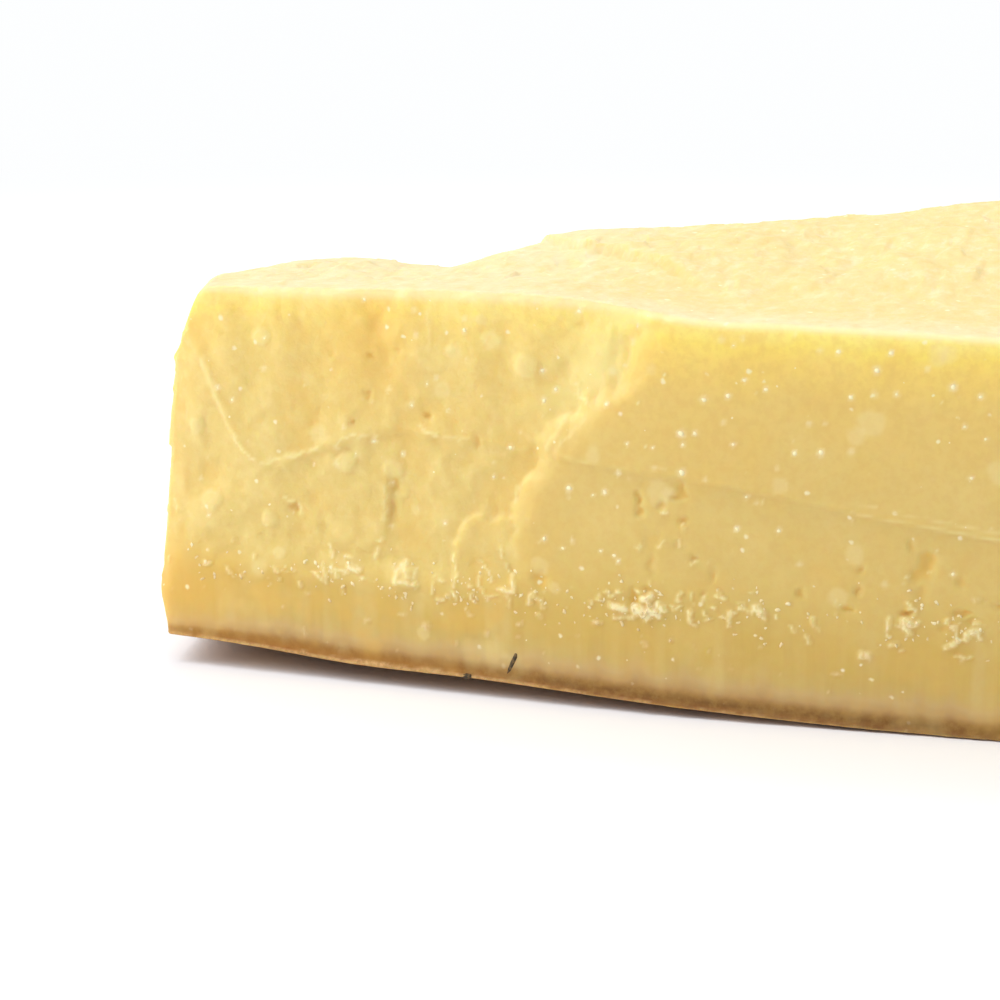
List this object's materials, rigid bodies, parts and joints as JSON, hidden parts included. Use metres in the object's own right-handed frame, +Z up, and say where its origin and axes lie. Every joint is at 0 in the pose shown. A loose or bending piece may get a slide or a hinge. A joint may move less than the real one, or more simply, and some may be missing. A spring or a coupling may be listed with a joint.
{
  "type": "sbrinz chunk",
  "caption": "Blunt wedge of hard, crumbly cheese with rind underneath, one face part sliced and part torn, and a rough split top.",
  "frame": {"origin": "centre of the bounding box, on the surface that the rind rests on", "axes": "+X along the sliced front from the narrow end to the wide end, +Y from the front to the back, +Z up from the rind"},
  "size_m": [0.185, 0.1033, 0.078],
  "materials": {
    "cheese": "waxy paste, satin, with pale crystals and a brown rind underneath"
  },
  "bodies": {
    "root": {"sbrinz_chunk": "cheese"}
  },
  "joints": []
}
